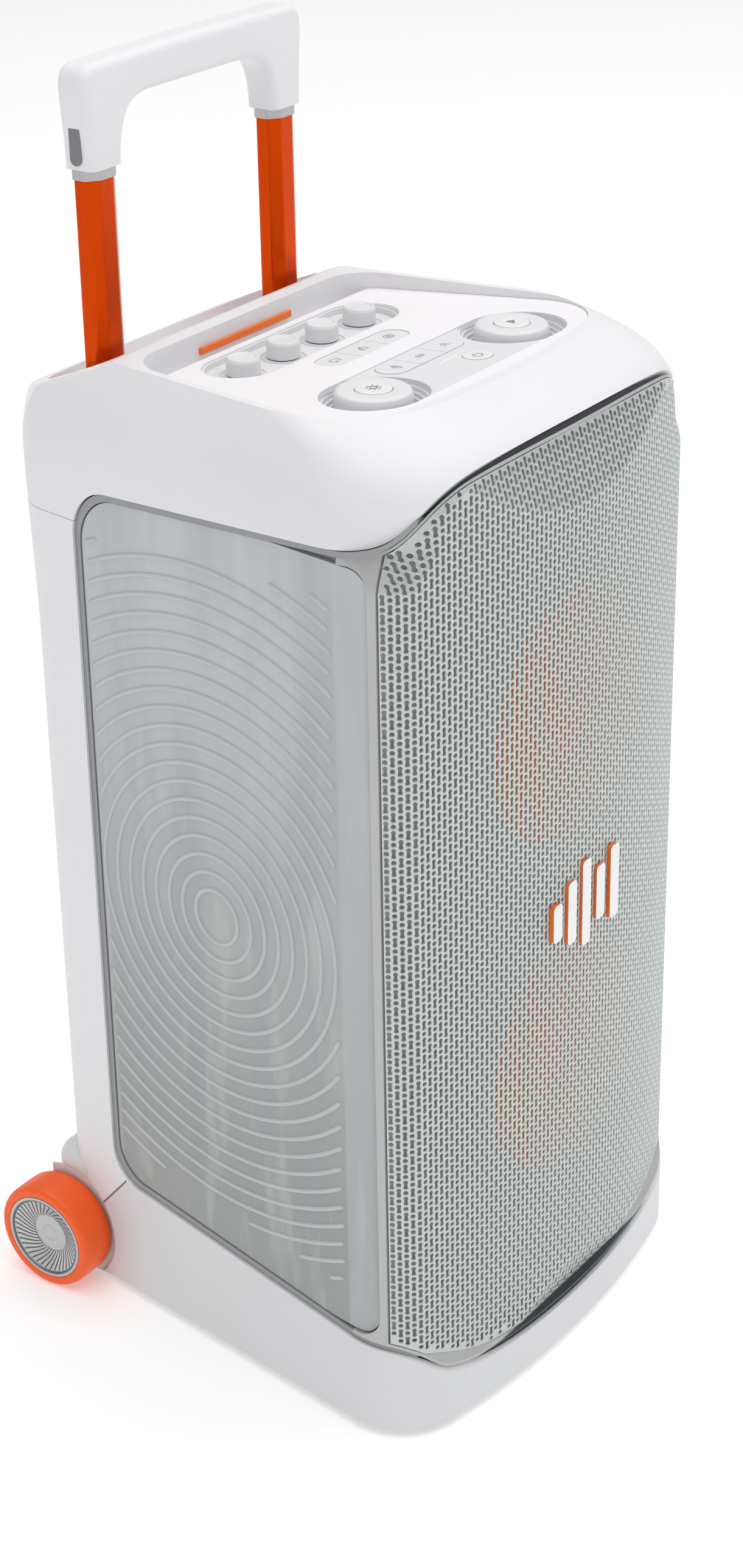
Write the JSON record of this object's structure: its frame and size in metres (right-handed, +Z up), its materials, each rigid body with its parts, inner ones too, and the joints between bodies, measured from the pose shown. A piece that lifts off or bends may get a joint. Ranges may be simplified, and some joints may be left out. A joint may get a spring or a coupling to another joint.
{
  "type": "party speaker",
  "caption": "Upright party speaker with a rounded white shell, perforated front grille, ringed side light panels, top controls, rear wheels and a telescopic trolley handle.",
  "frame": {"origin": "floor level at the centre of the footprint, midway between the front of the base and the rear of the tyres", "axes": "+Z up, -Y towards the front grille, +X towards the speaker's left-hand side as seen by a listener behind it, symmetry plane of the shell at X = 0"},
  "size_m": [0.3338, 0.374, 0.842],
  "materials": {
    "white_shell": "fine grained satin",
    "control_grey": "satin",
    "frame_grey": "satin",
    "charcoal_trim": "matte",
    "grille_metal": "fine metallic satin",
    "badge_metal": "brushed",
    "frosted_panel": "frosted translucent",
    "orange_tube": "satin anodised",
    "silver_trim": "satin",
    "orange_plastic": "satin",
    "orange_tyre": "soft matte",
    "hub_silver": "metallic satin",
    "liner_grey": "matte",
    "orange_cone": "woven cone",
    "black_rubber": "matte",
    "black_plastic": "satin",
    "steel": "brushed",
    "circuit_board": "solder mask",
    "key_white": "satin"
  },
  "bodies": {
    "cabinet": {"top_cap": "white_shell", "control_deck": "white_shell", "mic_panel": "control_grey", "main_panel": "control_grey", "tablet_strip": "orange_plastic", "encoder_bodies": "steel", "base_shell": "white_shell", "rear_shell": "white_shell", "cabinet_box": "black_plastic", "front_baffle": "black_plastic", "front_frame": "frame_grey", "gap_trims": "charcoal_trim", "grille": "grille_metal", "badge": "badge_metal", "side_panel_left": "frosted_panel", "side_panel_right": "frosted_panel", "side_trims": "charcoal_trim", "light_boards": "circuit_board", "woofer_cones": "orange_cone", "woofer_surrounds": "black_rubber", "woofer_baskets": "steel", "woofer_trims": "orange_plastic", "tweeters": "black_plastic", "bass_ports": "black_plastic", "amplifier_board": "circuit_board", "power_supply": "steel", "battery_pack": "black_plastic", "io_panel": "black_plastic", "io_sockets": "silver_trim", "mains_inlet": "black_plastic", "shell_screws": "steel", "rubber_feet": "black_rubber", "wheel_axles": "steel", "wheel_arch_liners": "liner_grey", "handle_sleeves": "black_plastic"},
    "handle": {"handle_tubes": "orange_tube", "handle_collars": "silver_trim", "handle_grip": "white_shell", "grip_inlays": "liner_grey"},
    "left_wheel": {"tyre_left": "orange_tyre", "wheel_hub_left": "hub_silver"},
    "right_wheel": {"tyre_right": "orange_tyre", "wheel_hub_right": "hub_silver"},
    "light_knob": {"light_knob": "key_white"},
    "light_button": {"light_knob_cap": "control_grey"},
    "volume_knob": {"volume_knob": "key_white"},
    "play_button": {"play_knob_cap": "control_grey"},
    "mic_level_knob": {"mic_level_knob": "key_white"},
    "bass_knob": {"bass_knob": "key_white"},
    "treble_knob": {"treble_knob": "key_white"},
    "echo_knob": {"echo_knob": "key_white"},
    "chat_key": {"chat_key": "control_grey"},
    "cheer_key": {"cheer_key": "control_grey"},
    "record_key": {"record_key": "control_grey"},
    "wireless_key": {"wireless_key": "control_grey"},
    "link_key": {"link_key": "control_grey"},
    "boost_key": {"boost_key": "control_grey"},
    "power_key": {"power_key": "key_white"},
    "battery_door": {"battery_door": "white_shell"},
    "port_cover": {"port_cover": "black_rubber"}
  },
  "joints": [
    {"name": "handle_slide", "type": "slide", "parent": "cabinet", "child": "handle", "axis": [0, 0, 1], "range_m": [-0.172, 0.16]},
    {"name": "left_wheel_spin", "type": "hinge", "parent": "cabinet", "child": "left_wheel", "pos_m": [-0.1435, 0.1485, 0.0385], "axis": [1, 0, 0], "continuous": true},
    {"name": "right_wheel_spin", "type": "hinge", "parent": "cabinet", "child": "right_wheel", "pos_m": [0.1435, 0.1485, 0.0385], "axis": [1, 0, 0], "continuous": true},
    {"name": "light_knob_turn", "type": "hinge", "parent": "cabinet", "child": "light_knob", "pos_m": [-0.074, -0.084, 0.665], "axis": [0, 0, 1], "continuous": true},
    {"name": "volume_knob_turn", "type": "hinge", "parent": "cabinet", "child": "volume_knob", "pos_m": [0.074, -0.084, 0.665], "axis": [0, 0, 1], "continuous": true},
    {"name": "light_button_press", "type": "slide", "parent": "light_knob", "child": "light_button", "axis": [0, 0, -1], "range_m": [0, 0.0012], "stiffness_N_per_m": 400},
    {"name": "play_button_press", "type": "slide", "parent": "volume_knob", "child": "play_button", "axis": [0, 0, -1], "range_m": [0, 0.0012], "stiffness_N_per_m": 400},
    {"name": "mic_level_knob_turn", "type": "hinge", "parent": "cabinet", "child": "mic_level_knob", "pos_m": [-0.0603, 0.021, 0.66], "axis": [0, 0, 1], "range_deg": [-150, 150]},
    {"name": "bass_knob_turn", "type": "hinge", "parent": "cabinet", "child": "bass_knob", "pos_m": [-0.0201, 0.021, 0.66], "axis": [0, 0, 1], "range_deg": [-150, 150]},
    {"name": "treble_knob_turn", "type": "hinge", "parent": "cabinet", "child": "treble_knob", "pos_m": [0.0201, 0.021, 0.66], "axis": [0, 0, 1], "range_deg": [-150, 150]},
    {"name": "echo_knob_turn", "type": "hinge", "parent": "cabinet", "child": "echo_knob", "pos_m": [0.0603, 0.021, 0.66], "axis": [0, 0, 1], "range_deg": [-150, 150]},
    {"name": "chat_key_press", "type": "slide", "parent": "cabinet", "child": "chat_key", "axis": [0, 0, -1], "range_m": [0, 0.0012], "stiffness_N_per_m": 400},
    {"name": "cheer_key_press", "type": "slide", "parent": "cabinet", "child": "cheer_key", "axis": [0, 0, -1], "range_m": [0, 0.0012], "stiffness_N_per_m": 400},
    {"name": "record_key_press", "type": "slide", "parent": "cabinet", "child": "record_key", "axis": [0, 0, -1], "range_m": [0, 0.0012], "stiffness_N_per_m": 400},
    {"name": "wireless_key_press", "type": "slide", "parent": "cabinet", "child": "wireless_key", "axis": [0, 0, -1], "range_m": [0, 0.0012], "stiffness_N_per_m": 400},
    {"name": "link_key_press", "type": "slide", "parent": "cabinet", "child": "link_key", "axis": [0, 0, -1], "range_m": [0, 0.0012], "stiffness_N_per_m": 400},
    {"name": "boost_key_press", "type": "slide", "parent": "cabinet", "child": "boost_key", "axis": [0, 0, -1], "range_m": [0, 0.0012], "stiffness_N_per_m": 400},
    {"name": "power_key_press", "type": "slide", "parent": "cabinet", "child": "power_key", "axis": [0, 0, -1], "range_m": [0, 0.0012], "stiffness_N_per_m": 400},
    {"name": "battery_door_hinge", "type": "hinge", "parent": "cabinet", "child": "battery_door", "pos_m": [0, 0.1554, 0.1152], "axis": [-1, 0, 0], "range_deg": [0, 85]},
    {"name": "port_cover_hinge", "type": "hinge", "parent": "cabinet", "child": "port_cover", "pos_m": [0, 0.151, 0.416], "axis": [1, 0, 0], "range_deg": [0, 105]}
  ]
}
